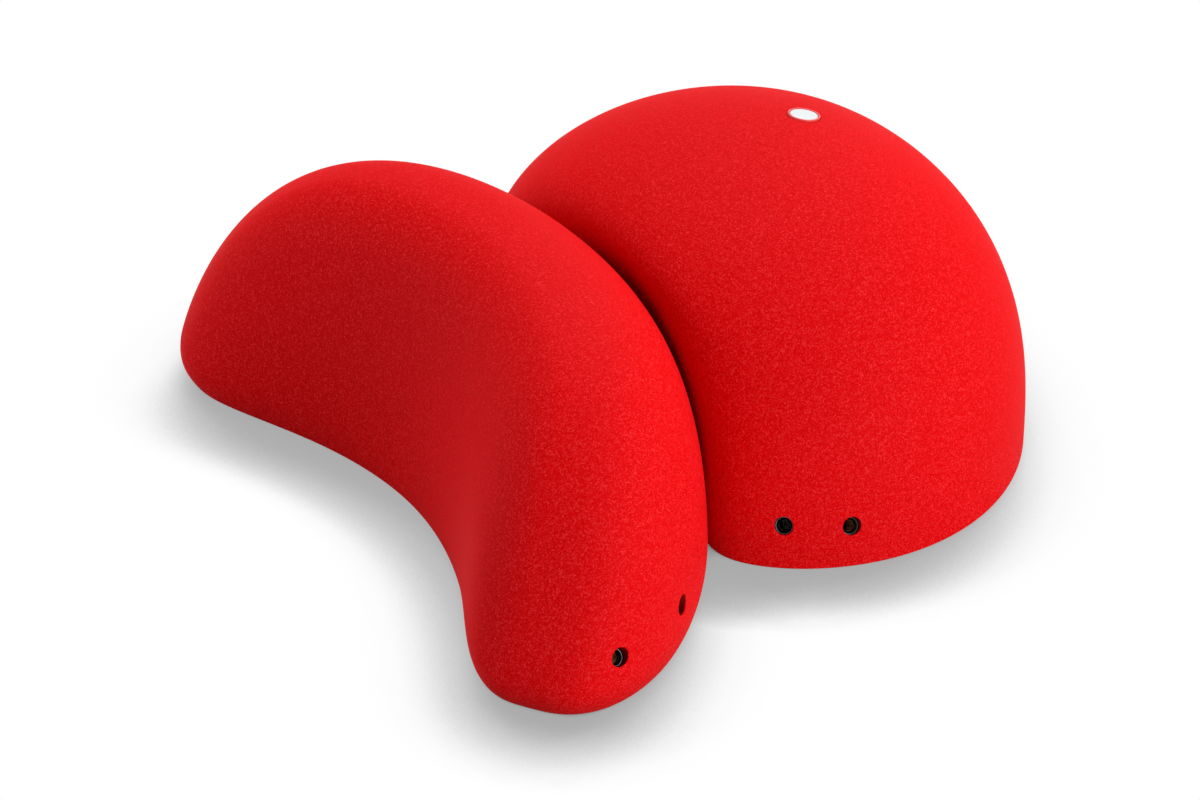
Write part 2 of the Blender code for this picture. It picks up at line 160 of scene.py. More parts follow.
def screw_way(out):
    """The direction of a drill: against the outward direction in plan, and SCREW_TILT down to the wall."""
    flat = np.array([out[0], out[1], 0.0])
    flat /= np.linalg.norm(flat)
    return -math.cos(SCREW_TILT) * flat - math.sin(SCREW_TILT) * np.array([0.0, 0.0, 1.0])


def crescent_holes():
    """The parameters, mouth and direction of each screw hole."""
    for sign in (-1, 1):
        for angle, height in CRESCENT_SCREWS:
            share = sign * math.radians(angle) / SPINE_HALF_ANGLE
            rise = (height + BELOW) / (CRESCENT_HEIGHT + BELOW) / taper(share, END_RISE)
            turn = math.pi - math.asin(rise ** (OUTER_SECTION[1] / 2))
            out = out_of(crescent_skin, share, turn, -1)
            yield (share, turn), crescent_skin(share, turn), screw_way(out)


def window_round(points, mouth, size, wrap):
    """The index box of a grid that reaches a given distance from a hole's mouth along rows and columns."""
    away = np.linalg.norm(points - mouth, axis=-1)
    i, j = np.unravel_index(np.argmin(away), away.shape)
    rows = away.shape[0]
    i0, i1, j0, j1 = i, i, j, j
    while away[(i0 % rows if wrap else i0), j] < size:
        i0 -= 1
    while away[(i1 % rows if wrap else i1), j] < size:
        i1 += 1
    while away[i, j0] < size:
        j0 -= 1
    while away[i, j1] < size:
        j1 += 1
    return i0, i1, j0, j1


def once_round(i0, i1, j0, j1):
    """The index pairs round the edge of a window."""
    first = [(i0, j) for j in range(j0, j1)] + [(i, j1) for i in range(i0, i1)]
    second = [(i1, j) for j in range(j1, j0, -1)] + [(i, j0) for i in range(i1, i0, -1)]
    return np.array(first + second)


def drill_frame(way):
    """Two directions across a drill's axis."""
    side = np.cross(way, (0, 0, 1))
    side /= np.linalg.norm(side)
    return side, np.cross(side, way)


def on_circle(skin, hole, angles, radius):
    """Parameters of the skin's points at a distance from a drill's axis, by Newton's steps from its mouth."""
    start, mouth, way = hole
    side, up = drill_frame(way)
    u, v = (np.full(len(angles), float(value)) for value in start)
    step = 1e-5
    for _ in range(NEWTON_STEPS):
        here = skin(u, v) - mouth
        along_u = (skin(u + step, v) - skin(u - step, v)) / (2 * step)
        along_v = (skin(u, v + step) - skin(u, v - step)) / (2 * step)
        miss_side = here @ side - radius * np.cos(angles)
        miss_up = here @ up - radius * np.sin(angles)
        a, b, c, d = along_u @ side, along_v @ side, along_u @ up, along_v @ up
        spread = a * d - b * c
        u = u - (d * miss_side - b * miss_up) / spread
        v = v - (a * miss_up - c * miss_side) / spread
    return u, v


def at_drill(mouth, way, angles, radius, depth):
    """Points round a drill's axis at a radius and a depth from the mouth."""
    side, up = drill_frame(way)
    across = np.cos(angles)[:, None] * side + np.sin(angles)[:, None] * up
    return mouth + radius * across + np.broadcast_to(depth, angles.shape)[:, None] * way


def edge_rings(skin, u, v, window, hole, radius, wrap):
    """Rings of the skin from a window's edge in to a circle round the drill, and each ring point's angle.

    Each ring mixes the parameters of the edge and of the circle, in even steps. Where rows close round the
    form, a row's angle may be a whole turn away from the hole's.
    """
    start, mouth, way = hole
    side, up = drill_frame(way)
    rim = once_round(*window)
    rows = rim[:, 0] % u.shape[0]
    edge_u, edge_v = u[rows, rim[:, 1]], v[rows, rim[:, 1]]
    if wrap:
        edge_u = edge_u + 2 * math.pi * np.round((start[0] - edge_u) / (2 * math.pi))
    out = skin(edge_u, edge_v) - mouth
    angles = np.arctan2(out @ up, out @ side)
    ring_u, ring_v = on_circle(skin, hole, angles, radius)
    share = np.linspace(1, 0, EDGE_RINGS)[:, None]
    rings = skin(ring_u + (edge_u - ring_u) * share, ring_v + (edge_v - ring_v) * share)
    return rings, angles


def rolled_lip(hole, angles, radius, depth, lip, turns):
    """A quarter round from the skin into a hole: rings that step in by a sine and down by a cosine."""
    _, mouth, way = hole
    return [
        at_drill(mouth, way, angles, radius + lip * (1 - math.sin(a)), depth + lip * (1 - math.cos(a)))
        for a in np.radians(turns)
    ]


def piece(name, grids, materials, body, replaced):
    """One mesh from grids of points, each (points, faces to keep, whether its rows close, material)."""
    points, faces, looks = [], [], []
    first = 0
    for grid, keep, wrap, look in grids:
        rows, columns = grid.shape[:2]
        if keep is None:
            keep = np.ones((rows if wrap else rows - 1, columns - 1), bool)
        i, j = np.nonzero(keep)
        after = (i + 1) % rows
        corners = [i * columns + j, after * columns + j, after * columns + j + 1, i * columns + j + 1]
        points.append(grid.reshape(-1, 3))
        faces.append(first + np.stack(corners, -1))
        looks.append(np.full(len(i), look))
        first += rows * columns
    mesh = bpy.data.meshes.new(name)
    mesh.from_pydata(np.concatenate(points), [], np.concatenate(faces))
    mesh.polygons.foreach_set("material_index", np.concatenate(looks).astype(np.int32))
    bm = bmesh.new()
    bm.from_mesh(mesh)
    bmesh.ops.remove_doubles(bm, verts=bm.verts, dist=MERGED_WITHIN)
    bmesh.ops.recalc_face_normals(bm, faces=bm.faces)
    bm.to_mesh(mesh)
    bm.free()
    mesh.shade_smooth()
    mesh.set_sharp_from_angle(angle=SHARP_FROM)
    made = bpy.data.objects.new(name, mesh)
    bpy.context.scene.collection.objects.link(made)
    for look in materials:
        mesh.materials.append(look)
    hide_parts(replaced)
    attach(made, body)


def shell_grids(skin, sign, u, v, holes, wrap, inner):
    """The outside, the inside and the drilled holes of a shell, as grids that meet at their edges.

    sign turns the skin's directions outwards, wrap says that its rows close, and inner finishes the inside.
    """
    outer = skin(u, v)

    def inside(a, b):
        """The skin moved inwards by the wall."""
        return skin(a, b) - WALL * out_of(skin, a, b, sign)

    keep_out = np.ones((u.shape[0] if wrap else u.shape[0] - 1, u.shape[1] - 1), bool)
    keep_in = keep_out.copy()
    seat = SEAT_DEPTH - SEAT_GAP
    back_r = BORE_R + BORE_SKIN
    grids = []
    for hole in holes:
        _, mouth, way = hole
        window = window_round(outer, mouth, HOLE_WINDOW, wrap)
        i0, i1, j0, j1 = window
        cut = np.arange(i0, i1) % keep_out.shape[0]
        keep_out[cut, j0:j1] = False
        keep_in[cut, j0:j1] = False
        rings, angles = edge_rings(skin, u, v, window, hole, BORE_R + LIP, wrap)
        depth = (rings[-1] - mouth) @ way
        lips = rolled_lip(hole, angles, BORE_R, depth, LIP, (22, 45, 68, 90))
        top = depth + LIP
        walls = [at_drill(mouth, way, angles, BORE_R, top + (seat - top) * s) for s in (0.3, 0.65, 1)]
        inner_rings, inner_angles = edge_rings(inside, u, v, window, hole, back_r, wrap)
        back = at_drill(mouth, way, inner_angles, back_r, seat)
        grids.append((np.stack([*rings, *lips], axis=1), None, True, OUTSIDE))
        grids.append((np.stack([lips[-1], *walls, back, inner_rings[-1]], axis=1), None, True, BORE))
        grids.append((np.stack(inner_rings[::-1], axis=1), None, True, INSIDE))
    return [(outer, keep_out, wrap, OUTSIDE), (inner(inside), keep_in, wrap, INSIDE), *grids]


def crescent_grids():
    """The crescent's shell, whose two faces are joined by a strip along each foot."""
    u, v = crescent_parameters(*CRESCENT_GRID)

    def inner(inside):
        """The inside face, with its feet on the wall plane and its ends closed a little inside the tips."""
        reach = 0.9945
        grid = inside(np.clip(u, -reach, reach), v)
        grid[:, (0, -1), 2] = 0
        first, last = np.searchsorted(u[:, 0], (-reach, reach))
        grid[:first] = (grid[first, 0] + grid[first, -1]) / 2
        grid[last:] = (grid[last - 1, 0] + grid[last - 1, -1]) / 2
        return grid

    grids = shell_grids(crescent_skin, -1, u, v, crescent_holes(), False, inner)
    outer, inside = grids[0][0], grids[1][0]
    for column in (0, -1):
        strip = np.stack([outer[:, column], inside[:, column]], axis=1)
        grids.append((strip, None, False, INSIDE))
    return grids


def shader_of(name):
    """A new material, its node tree and its shader."""
    material = bpy.data.materials.new(name)
    material.use_nodes = True
    return material, material.node_tree, material.node_tree.nodes["Principled BSDF"]


def maths(tree, operation, *given):
    """The result of a sum on plain numbers and on other nodes' results."""
    node = tree.nodes.new("ShaderNodeMath")
    node.operation = operation
    for socket, value in zip(node.inputs, given):
        if isinstance(value, bpy.types.NodeSocket):
            tree.links.new(value, socket)
        else:
            socket.default_value = value
    return node.outputs[0]


def noise_on(tree, vector, scale, detail):
    """A noise node that reads the given coordinates."""
    noise = tree.nodes.new("ShaderNodeTexNoise")
    noise.inputs["Scale"].default_value = scale
    noise.inputs["Detail"].default_value = detail
    tree.links.new(vector, noise.inputs["Vector"])
    return noise


def two_tone(tree, value, low, high, span=(0, 1)):
    """A ramp from one colour to another, over a span of a value."""
    shade = tree.nodes.new("ShaderNodeValToRGB")
    for stop, place, colour in zip(shade.color_ramp.elements, span, (low, high)):
        stop.position = place
        stop.color = (*colour, 1)
    tree.links.new(value, shade.inputs["Fac"])
    return shade


def spread_over(tree, value, low, high):
    """A value from 0 to 1 spread between two others."""
    made = tree.nodes.new("ShaderNodeMapRange")
    made.inputs["To Min"].default_value = low
    made.inputs["To Max"].default_value = high
    tree.links.new(value, made.inputs["Value"])
    return made.outputs[0]


def bump_by(tree, shader, height, strength, distance):
    """Tilts a shader's normals by a height."""
    bump = tree.nodes.new("ShaderNodeBump")
    bump.inputs["Strength"].default_value = strength
    bump.inputs["Distance"].default_value = distance
    tree.links.new(height, bump.inputs["Height"])
    tree.links.new(bump.outputs["Normal"], shader.inputs["Normal"])


def grit_group():
    """Fine moulded grit: two sizes of noise added for its height, and a mask from 0 in pits to 1 on grains.

    The coarser noise counts for three tenths of the finer.
    """
    group = bpy.data.node_groups.new("gelcoat grit", "ShaderNodeTree")
    group.interface.new_socket("Grains per metre", in_out="INPUT", socket_type="NodeSocketFloat")
    group.interface.new_socket("Height", in_out="OUTPUT", socket_type="NodeSocketFloat")
    group.interface.new_socket("Grains", in_out="OUTPUT", socket_type="NodeSocketFloat")
    given, result = group.nodes.new("NodeGroupInput"), group.nodes.new("NodeGroupOutput")
    where = group.nodes.new("ShaderNodeTexCoord").outputs["Object"]
    fine = noise_on(group, where, 1, 2)
    fine.inputs["Roughness"].default_value = 0.7
    group.links.new(given.outputs["Grains per metre"], fine.inputs["Scale"])
    coarse = noise_on(group, where, 420, 2)
    height = maths(group, "MULTIPLY_ADD", coarse.outputs["Fac"], 0.3, fine.outputs["Fac"])
    group.links.new(height, result.inputs["Height"])
    level = group.nodes.new("ShaderNodeMapRange")
    level.inputs["From Min"].default_value = 0.45
    level.inputs["From Max"].default_value = 0.85
    group.links.new(height, level.inputs["Value"])
    group.links.new(level.outputs[0], result.inputs["Grains"])
    return group


def gritty_red():
    """Red gelcoat with a fine grit: painted shade between its grains, and painted glints, lighter and pinker,
    on top of them, where it is also drier.
    """
    material, tree, shader = shader_of("gritty_red")
    grit = tree.nodes.new("ShaderNodeGroup")
    grit.node_tree = grit_group()
    grit.inputs["Grains per metre"].default_value = 1000
    # The colour runs from painted shade in the pits, through the plain red, to painted glints on the grains.
    pit_shade = [part * tint for part, tint in zip(GRIT_RED, PIT_SHADE_TINT)]
    grain = [min(part * tint, 1) for part, tint in zip(GRIT_RED, GRAIN_GLINT_TINT)]
    shade = two_tone(tree, grit.outputs["Grains"], pit_shade, grain)
    shade.color_ramp.elements.new(0.5).color = (*GRIT_RED, 1)
    tree.links.new(shade.outputs["Color"], shader.inputs["Base Color"])
    tree.links.new(spread_over(tree, grit.outputs["Grains"], 0.5, 0.8), shader.inputs["Roughness"])
    bump_by(tree, shader, grit.outputs["Height"], 0.8, 0.0004)
    shader.inputs["Specular IOR Level"].default_value = 0.03
    return material


def laminate():
    """The back of the moulding: chopped glass strands wetted with resin, with the red showing through.

    A strand is noise drawn out along one direction, and the highest of three lays of them shows.
    """
    material, tree, shader = shader_of("glass_laminate")
    where = tree.nodes.new("ShaderNodeTexCoord").outputs["Object"]
    lays = []
    for turn in ((0.3, 0.5, 0.2), (1.4, 0.2, 1.1), (0.8, 1.9, 2.3)):
        lay = tree.nodes.new("ShaderNodeMapping")
        lay.inputs["Rotation"].default_value = turn
        lay.inputs["Scale"].default_value = (620, 60, 620)
        tree.links.new(where, lay.inputs["Vector"])
        lays.append(noise_on(tree, lay.outputs["Vector"], 1, 1).outputs["Fac"])
    strands = maths(tree, "MAXIMUM", maths(tree, "MAXIMUM", lays[0], lays[1]), lays[2])
    shade = two_tone(tree, strands, (0.30, 0.035, 0.02), (0.62, 0.33, 0.20), (0.48, 0.72))
    tree.links.new(shade.outputs["Color"], shader.inputs["Base Color"])
    bump_by(tree, shader, strands, 0.6, 0.0005)
    shader.inputs["Roughness"].default_value = 0.38
    return material


def drilled():
    """The wall of a drilled hole: cut laminate, rough, in a red painted dark as painted shade inside the
    hole, in patches of noise.
    """
    material, tree, shader = shader_of("drilled_laminate")
    where = tree.nodes.new("ShaderNodeTexCoord").outputs["Object"]
    bore_mottle = noise_on(tree, where, 900, 3).outputs["Fac"]
    # Both reds are painted dark, as painted shade inside the hole.
    shade = two_tone(tree, bore_mottle, (0.08, 0.002, 0.002), (0.42, 0.006, 0.006))
    tree.links.new(shade.outputs["Color"], shader.inputs["Base Color"])
    bump_by(tree, shader, bore_mottle, 0.5, 0.0003)
    shader.inputs["Roughness"].default_value = 0.85
    shader.inputs["Specular IOR Level"].default_value = 0.1
    return material


shell_looks = (gritty_red(), laminate(), drilled())
piece("crescent_skin", crescent_grids(), shell_looks, "crescent_hold", "crescent_shell")


# Dome shell
# The same laminate and gelcoat, moulded as an egg with a round bite that clears the crescent's flank. It has
# a pair of screw holes at each end and a shallow round recess near its crown for the badge.
APEX_X, APEX_SHIFT = 0.08944, 0.0274  # where the crown is, and how far it lies off the plan's centre
DOME_HALF_WIDTH, DOME_HALF_LENGTH, DOME_HEIGHT = 0.1602, 0.1914, 0.1768
DOME_SECTION = (1.81, 2.93)  # powers of the section, across and up
BITE_R, BITE_DEPTH, BITE_LEAN = 0.2647, 0.0845, 0.70
BITE_EDGE, BITE_POWER = (20.3, 7.7), 14.1  # powers of the edge, at the foot and on top, and of the bite
HALVINGS = 44
DOME_SCREWS = ((122.8, 0.0289), (111.4, 0.0274))  # degrees round the crown, and height
DOME_GRID = (300, 105)
BADGE_AWAY, BADGE_TURN = 0.0219, math.radians(24.7)
BADGE_R, BADGE_T, BADGE_PROUD = 0.0098, 0.0024, 0.0007
RECESS_GAP, RECESS_EDGE, RECESS_WINDOW = 0.0003, 0.0005, 0.0135


def dome_plan(around):
    """The radius of the dome's ellipse about a point that is off its centre, from the ellipse's equation."""
    square = (np.cos(around) / DOME_HALF_WIDTH) ** 2 + (np.sin(around) / DOME_HALF_LENGTH) ** 2
    slope = APEX_SHIFT * np.cos(around) / DOME_HALF_WIDTH**2
    return (-slope + np.sqrt(slope**2 - square * ((APEX_SHIFT / DOME_HALF_WIDTH) ** 2 - 1))) / square


def dome_skin(around, climb):
    """A superellipse dome on that plan, less a leaning round bite, with a round edge where the two meet.

    A point lies where its share of the plain radius and the bite's share of the distance from the bite's
    centre, each to its power, add up to 1. It is found by halving. climb runs from 0 at the foot to 1 on top.
    """
    around, climb = np.broadcast_arrays(around, climb)
    rise = np.maximum(np.sin(climb * np.pi / 2), 0) ** (2 / DOME_SECTION[1])
    plain = dome_plan(around) * np.maximum(np.cos(climb * np.pi / 2), 1e-9) ** (2 / DOME_SECTION[0])
    edge = BITE_EDGE[0] + (BITE_EDGE[1] - BITE_EDGE[0]) * rise
    level = np.clip(DOME_HEIGHT * rise / CRESCENT_HEIGHT, 0, 1)
    lean = OUTER_WIDTH * (1 - (1 - level ** OUTER_SECTION[1]) ** (1 / OUTER_SECTION[0]))
    bite = BITE_R - BITE_LEAN * lean
    bite_away = APEX_SHIFT + DOME_HALF_WIDTH - BITE_DEPTH + BITE_R
    low, high = 0 * plain, plain
    for _ in range(HALVINGS):
        radius = (low + high) / 2
        away = np.hypot(radius * np.cos(around) + bite_away, radius * np.sin(around))
        outside = (radius / plain) ** edge + (bite / away) ** BITE_POWER > 1
        low, high = np.where(outside, low, radius), np.where(outside, radius, high)
    z = lowered(DOME_HEIGHT * rise, DOME_HEIGHT)
    return np.stack([APEX_X + radius * np.cos(around), radius * np.sin(around), z], axis=-1)


def dome_holes():
    """The parameters, mouth and direction of each screw hole."""
    for sign in (-1, 1):
        for angle, height in DOME_SCREWS:
            around = sign * math.radians(angle)
            lift = (height + BELOW) / (DOME_HEIGHT + BELOW)
            climb = math.asin(lift ** (DOME_SECTION[1] / 2)) * 2 / math.pi
            out = out_of(dome_skin, around, climb, 1)
            yield (around, climb), dome_skin(around, climb), screw_way(out)


def badge_place():
    """The parameters of the badge's middle near the crown, the point there, and the way into the shell."""
    share = BADGE_AWAY / dome_plan(BADGE_TURN)
    climb = math.acos(share ** (DOME_SECTION[0] / 2)) * 2 / math.pi
    return (BADGE_TURN, climb), dome_skin(BADGE_TURN, climb), -out_of(dome_skin, BADGE_TURN, climb, 1)


def dome_grids():
    """The dome's shell with the badge's recess, its two faces joined by a strip round the foot."""
    rows, columns = DOME_GRID
    foot = math.asin((BELOW / (DOME_HEIGHT + BELOW)) ** (DOME_SECTION[1] / 2)) * 2 / math.pi
    around = np.linspace(-math.pi, math.pi, rows, endpoint=False)[:, None]
    off_bite = 0.4
    climb = even_steps(lambda c: dome_skin(np.full_like(c, off_bite), c), foot, 1.0, columns)[None, :]
    u, v = around + 0 * climb, climb + 0 * around

    def inner(inside):
        """The inside face, with its foot on the wall plane and closed under the crown."""
        grid = inside(u, np.minimum(v, 0.9999))
        grid[:, 0, 2] = 0
        grid[:, -1] = (APEX_X, 0, DOME_HEIGHT - WALL)
        return grid

    grids = shell_grids(dome_skin, 1, u, v, dome_holes(), True, inner)
    outer, keep = grids[0][:2]
    outer[:, -1] = (APEX_X, 0, DOME_HEIGHT)
    recess = badge_place()
    _, middle, way = recess
    window = window_round(outer, middle, RECESS_WINDOW, True)
    i0, i1, j0, j1 = window
    keep[np.arange(i0, i1) % rows, j0:j1] = False
    recess_r = BADGE_R + RECESS_GAP
    rings, angles = edge_rings(dome_skin, u, v, window, recess, recess_r + RECESS_EDGE, True)
    depth = (rings[-1] - middle) @ way
    lips = rolled_lip(recess, angles, recess_r, depth, RECESS_EDGE, (30, 60, 90))
    base = BADGE_T - BADGE_PROUD + RECESS_GAP
    bases = [at_drill(middle, way, angles, radius, base) for radius in (recess_r, 0.004, 0)]
    grids.append((np.stack([*rings, *lips, *bases], axis=1), None, True, OUTSIDE))
    grids.append((np.stack([outer[:, 0], grids[1][0][:, 0]], axis=1), None, True, INSIDE))
    return grids


piece("dome_skin", dome_grids(), shell_looks, "dome_hold", "dome_shell")


# Screw cups
# Turned steel, zinc plated. Each sits on the step of its hole and takes the head of a countersunk screw.
# Its lip catches the light. Its seat is a darker zinc than its lip, as painted shade in the dark of the hole.
SHANK_R, CUP_R, CUP_T, CUP_LIP = 0.0035, 0.00515, 0.0035, 0.0005
CUP_OFF_STEP, CUP_SIDES, SEAT_STEPS, SEAT_POWER = 0.0003, 56, 10, 0.8
LIP_CURVE = ((0, 0.0002), (0.0001, 0.00003), (0.00025, -0.00008))  # in from the rim, and down from its top


def cup_grids(mouth, way):
    """Two profiles round the drill's axis: over the lip, and down the seat, along the floor and up the wall.

    The seat's depth grows by a power of the way in, to two thirds of the cup's thickness.
    """
    base = SEAT_DEPTH - CUP_OFF_STEP
    seat_r, top = CUP_R - CUP_LIP, base - CUP_T
    shares = np.linspace(0, 1, SEAT_STEPS)
    seat = [(seat_r + (SHANK_R - seat_r) * s, top + CUP_T * 2 / 3 * s**SEAT_POWER) for s in shares]
    lip = [*[(CUP_R - inwards, top + down) for inwards, down in LIP_CURVE], seat[0]]
    well = [*seat, (SHANK_R, base), (CUP_R, base), lip[0]]
    angles = np.linspace(0, 2 * math.pi, CUP_SIDES, endpoint=False)
    for look, profile in enumerate((lip, well)):
        rings = [at_drill(mouth, way, angles, radius, depth) for radius, depth in profile]
        yield np.stack(rings, axis=1), None, True, look


def zinc(name, low, high):
    """Zinc plate: a blue-grey metal with a cloudy dullness, between two greys."""
    material, tree, shader = shader_of(name)
    where = tree.nodes.new("ShaderNodeTexCoord").outputs["Object"]
    cloud = noise_on(tree, where, 420, 4).outputs["Fac"]
    shade = two_tone(tree, cloud, (low, low * 1.05, low * 1.2), (high, high * 1.04, high * 1.13))
    tree.links.new(shade.outputs["Color"], shader.inputs["Base Color"])
    tree.links.new(spread_over(tree, cloud, 0.22, 0.5), shader.inputs["Roughness"])
    shader.inputs["Metallic"].default_value = 1
    return material


# The seat's darker greys are painted shade inside the hole.
cup_looks = (zinc("zinc_lip", 0.04, 0.13), zinc("zinc_seat_painted_shade", 0.02, 0.07))
for hold, holes in (("crescent", crescent_holes()), ("dome", dome_holes())):
    for place, (_, mouth, way) in zip(("near_tip", "near_side", "far_tip", "far_side"), holes):
        replaced = f"{hold}_screw_cup_{place}"
        piece(f"{hold}_cup_{place}", cup_grids(mouth, way), cup_looks, f"{hold}_hold", replaced)


# Badge
# A small moulded button pressed into its recess and glued: a red rim of hard plastic with a plain white disc
# inlaid.
BADGE_RIM, BADGE_FLOOR, BADGE_SIDES = 0.0012, 0.0008, 96
RIM_ROUND, RIM_BEVEL = 0.0004, 0.0002
DISC_DROP, DISC_GAP, DISC_BEVEL = 0.0003, 0.0003, 0.00015
DISC_CROWN = (0.0001, 0.00012)  # how far the disc's face rises, halfway in and in its middle


def badge_grid(profile):
    """A profile of (radius, height above the shell) pairs turned about the badge's axis."""
    _, middle, way = badge_place()
    angles = np.linspace(0, 2 * math.pi, BADGE_SIDES, endpoint=False)
    rings = [at_drill(middle, way, angles, radius, -height) for radius, height in profile]
    return [(np.stack(rings, axis=1), None, True, 0)]


def moulded(name, colour, roughness, speck):
    """Smooth moulded plastic with a faint mottle and fine scuffs."""
    material, tree, shader = shader_of(name)
    where = tree.nodes.new("ShaderNodeTexCoord").outputs["Object"]
    cloud = noise_on(tree, where, 900, 3).outputs["Fac"]
    shade = two_tone(tree, cloud, [part * (1 - speck) for part in colour], colour)
    tree.links.new(shade.outputs["Color"], shader.inputs["Base Color"])
    scuff = spread_over(tree, cloud, roughness - 0.08, roughness + 0.12)
    tree.links.new(scuff, shader.inputs["Roughness"])
    return material


rim_base, inner_r = BADGE_PROUD - BADGE_T, BADGE_R - BADGE_RIM
rim = [
    (0, rim_base),
    (BADGE_R - RIM_BEVEL, rim_base),
    (BADGE_R, rim_base + RIM_BEVEL),
    (BADGE_R, BADGE_PROUD - RIM_ROUND),
    *[
        (BADGE_R - RIM_ROUND * (1 - math.cos(a)), BADGE_PROUD - RIM_ROUND * (1 - math.sin(a)))
        for a in np.radians((30, 60, 90))
    ],
    (inner_r + RIM_BEVEL, BADGE_PROUD),
    (inner_r, BADGE_PROUD - RIM_BEVEL),
    (inner_r, rim_base + BADGE_FLOOR),
    (0, rim_base + BADGE_FLOOR),
]
badge_red = moulded("badge_red", (0.80, 0.035, 0.035), 0.35, 0.2)
piece("badge_button", badge_grid(rim), (badge_red,), "dome_hold", "badge_rim")
disc_r, disc_base, face = inner_r - DISC_GAP, rim_base + BADGE_FLOOR + DISC_GAP, BADGE_PROUD - DISC_DROP
disc = [
    (0, disc_base),
    (disc_r, disc_base),
    (disc_r, face - DISC_BEVEL),
    (disc_r - DISC_BEVEL, face),
    (disc_r / 2, face + DISC_CROWN[0]),
    (0, face + DISC_CROWN[1]),
]
badge_white = moulded("badge_white", (0.66, 0.68, 0.68), 0.4, 0.08)
piece("badge_face", badge_grid(disc), (badge_white,), "dome_hold", "badge_disc")


# Base plates and formers
# Birch plywood, 12 mm in nine plies, sawn and left bare. A plate with an opening is bonded into the foot of
# each shell, and the formers stand on it and brace the shell from inside.
BOARD = 0.012
PLY = BOARD / 9
FORMER_TURN = 17.5  # degrees between the crescent's formers


def plywood_group():
    """Board coordinates with the thickness along Z: face grain along Y, and edges that show the plies."""
    group = bpy.data.node_groups.new("birch plywood", "ShaderNodeTree")
    group.interface.new_socket("Board", in_out="INPUT", socket_type="NodeSocketVector")
    group.interface.new_socket("Side on", in_out="INPUT", socket_type="NodeSocketFloat")
    group.interface.new_socket("Color", in_out="OUTPUT", socket_type="NodeSocketColor")
    group.interface.new_socket("Height", in_out="OUTPUT", socket_type="NodeSocketFloat")
    make, link = group.nodes.new, group.links.new
    given, result = make("NodeGroupInput"), make("NodeGroupOutput")
    stretch = make("ShaderNodeMapping")
    stretch.inputs["Scale"].default_value = (260, 14, 30)
    link(given.outputs["Board"], stretch.inputs["Vector"])
    grain = noise_on(group, stretch.outputs["Vector"], 1, 5)
    grain.inputs["Distortion"].default_value = 0.6
    face = two_tone(group, grain.outputs["Fac"], (0.47, 0.29, 0.14), (0.66, 0.46, 0.27), (0.3, 0.7))
    split = make("ShaderNodeSeparateXYZ")
    link(given.outputs["Board"], split.inputs["Vector"])
    part = maths(group, "FRACT", maths(group, "DIVIDE", split.outputs["Z"], 2 * PLY))
    plies = two_tone(group, part, (0.60, 0.40, 0.22), (0.33, 0.18, 0.08), (0, 0.5))
    plies.color_ramp.interpolation = "CONSTANT"
    fine = noise_on(group, given.outputs["Board"], 700, 2)
    worn = make("ShaderNodeMix")
    worn.data_type = "RGBA"
    worn.blend_type = "MULTIPLY"
    worn.inputs[0].default_value = 0.35
    link(plies.outputs["Color"], worn.inputs[6])
    link(fine.outputs["Fac"], worn.inputs[7])
    mix = make("ShaderNodeMix")
    mix.data_type = "RGBA"
    link(given.outputs["Side on"], mix.inputs[0])
    link(worn.outputs[2], mix.inputs[6])
    link(face.outputs["Color"], mix.inputs[7])
    link(mix.outputs[2], result.inputs["Color"])
    link(grain.outputs["Fac"], result.inputs["Height"])
    return group


PLYWOOD = plywood_group()


def plywood(name, normal, shift):
    """Plywood whose thickness lies along one direction, with its plies counted from shift.

    A face is where the normal is within about 45 degrees of that direction. The rest is sawn edge.
    """
    material, tree, shader = shader_of(name)
    make, link = tree.nodes.new, tree.links.new
    where = make("ShaderNodeTexCoord")
    board = make("ShaderNodeMapping")
    board.inputs["Rotation"].default_value = Vector(normal).rotation_difference(Vector((0, 0, 1))).to_euler()
    board.inputs["Location"].default_value = (0, 0, shift)
    link(where.outputs["Object"], board.inputs["Vector"])
    facing = make("ShaderNodeVectorMath")
    facing.operation = "DOT_PRODUCT"
    facing.inputs[1].default_value = normal
    link(where.outputs["Normal"], facing.inputs[0])
    side_on = maths(tree, "GREATER_THAN", maths(tree, "ABSOLUTE", facing.outputs["Value"]), 0.7)
    wood = make("ShaderNodeGroup")
    wood.node_tree = PLYWOOD
    link(board.outputs["Vector"], wood.inputs["Board"])
    link(side_on, wood.inputs["Side on"])
    link(wood.outputs["Color"], shader.inputs["Base Color"])
    bump_by(tree, shader, wood.outputs["Height"], 0.3, 0.0002)
    shader.inputs["Roughness"].default_value = 0.72
    return material


def dress(node, material):
    """Gives a node of the frame its finish."""
    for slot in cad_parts[node].material_slots:
        slot.material = material


plate_ply = plywood("plate_plywood", (0, 0, 1), 0)
for node in ("crescent_base_plate", "dome_base_plate"):
    dress(node, plate_ply)
for spot, degrees in (("near", -FORMER_TURN), ("middle", 0), ("far", FORMER_TURN)):
    a = math.radians(degrees)
    across = (-math.sin(a), math.cos(a), 0)
    shift = BOARD / 2 - across[0] * ARC_X
    dress(f"crescent_former_{spot}", plywood(f"former_plywood_{spot}", across, shift))
dress("dome_former_cross", plywood("former_plywood_cross", (0, 1, 0), BOARD / 2))
dress("dome_former_long", plywood("former_plywood_long", (1, 0, 0), BOARD / 2 - APEX_X))


